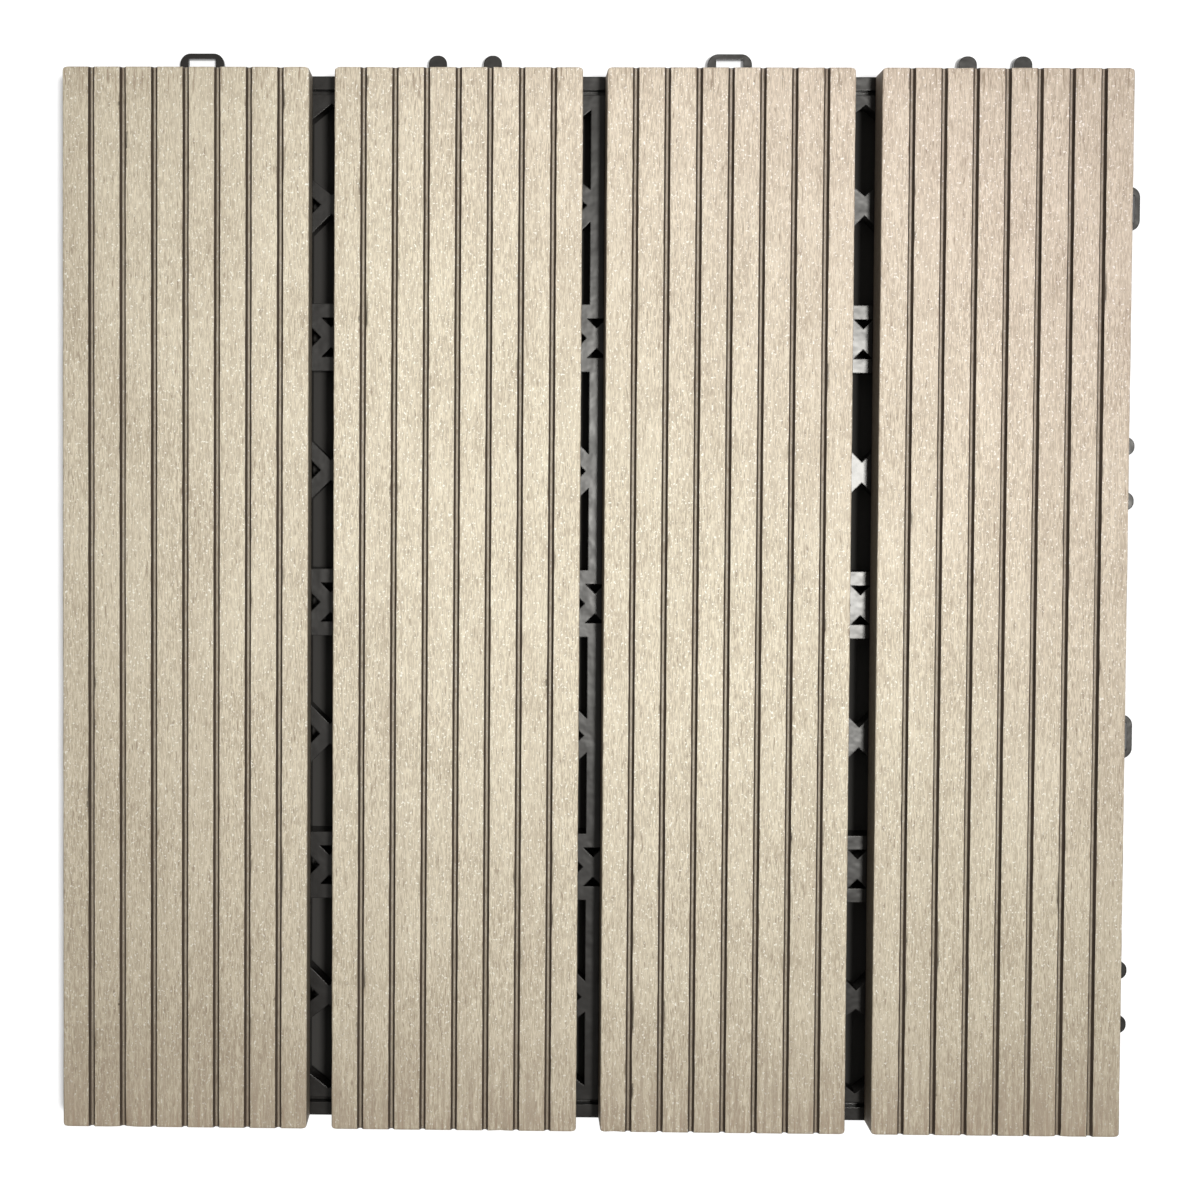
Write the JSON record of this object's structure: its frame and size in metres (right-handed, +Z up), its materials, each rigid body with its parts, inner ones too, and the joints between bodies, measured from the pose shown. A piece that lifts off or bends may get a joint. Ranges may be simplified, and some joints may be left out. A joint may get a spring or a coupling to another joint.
{
  "type": "interlocking deck tile",
  "caption": "Square outdoor deck tile: grooved composite boards screwed to a moulded plastic grid with loops and prongs that lock into the next tile.",
  "frame": {"origin": "middle of the whole outline in plan, connectors included, at the height of the ground", "axes": "+Z up from the ground, Y along the boards, X across them; the connectors that stand out are on the +X and +Y sides"},
  "size_m": [0.305, 0.305, 0.022],
  "materials": {
    "board_composite": "satin",
    "base_plastic": "gloss",
    "screw_steel": "satin"
  },
  "bodies": {
    "root": {"base_grid": "base_plastic", "board_1": "board_composite", "board_2": "board_composite", "board_3": "board_composite", "board_4": "board_composite", "screws": "screw_steel"}
  },
  "joints": []
}
